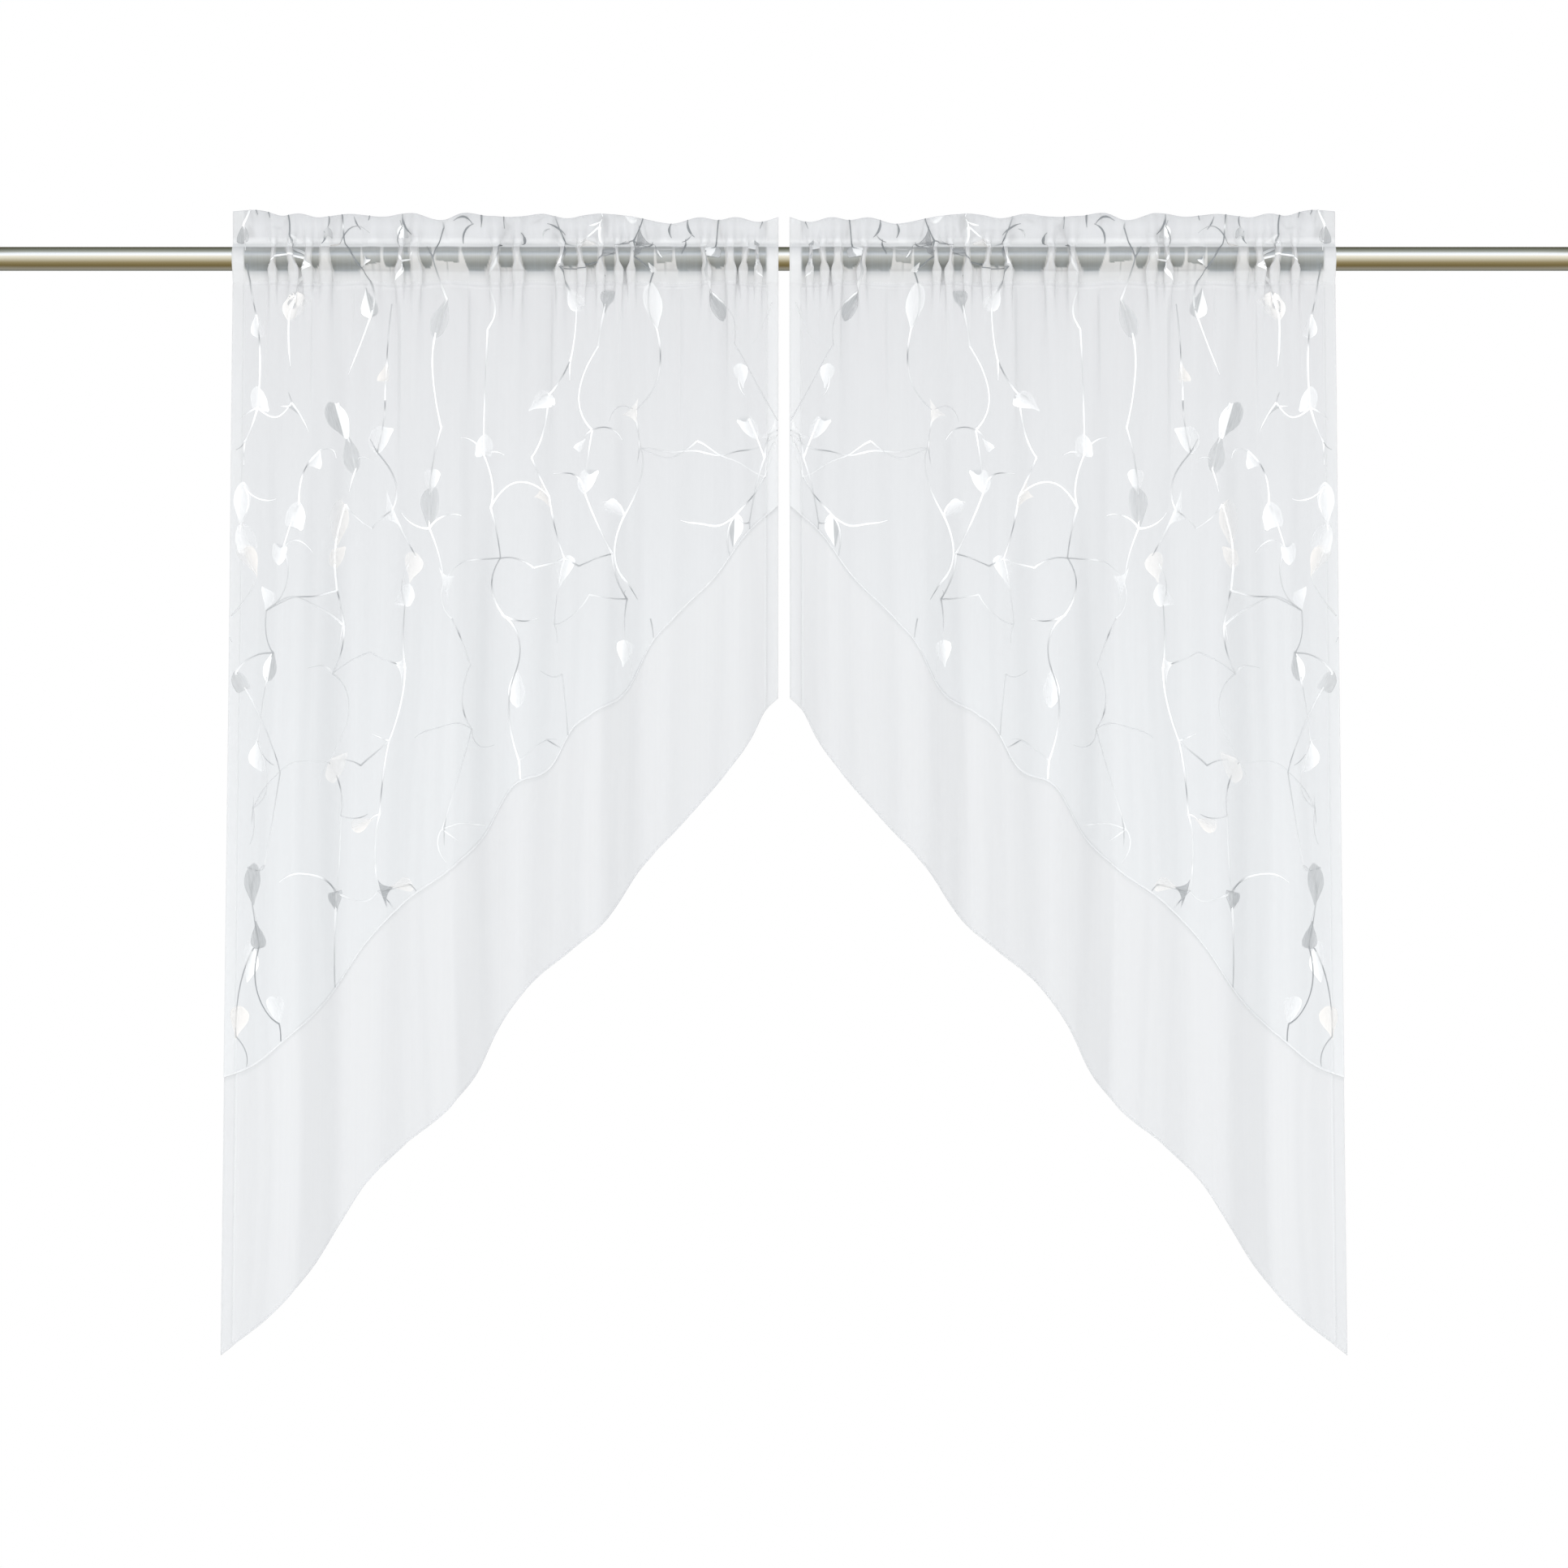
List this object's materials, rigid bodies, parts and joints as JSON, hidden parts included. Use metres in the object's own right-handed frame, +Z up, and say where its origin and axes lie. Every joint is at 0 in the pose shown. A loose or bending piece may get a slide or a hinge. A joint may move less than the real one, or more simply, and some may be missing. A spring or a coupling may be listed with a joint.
{
  "type": "cafe curtain pair on a rod",
  "caption": "Sheer cafe curtains with ruffled headings, gathered by their pockets on a plain metal rod, parted in the middle, with slanting wavy plain borders.",
  "frame": {"origin": "middle of the rod's axis, halfway between the two curtains", "axes": "+X along the rod, to the right as the room sees it; +Y towards the window; +Z up"},
  "size_m": [1.72, 0.043, 1.2018],
  "materials": {
    "rod_metal": "satin brushed nickel with a warm cast",
    "patterned_voile": "sheer white voile with satin twigs and pods",
    "plain_voile": "plain white voile, denser than the panel"
  },
  "bodies": {
    "root": {"rod": "rod_metal", "left_panel": "patterned_voile", "left_border": "plain_voile", "right_panel": "patterned_voile", "right_border": "plain_voile"}
  },
  "joints": []
}
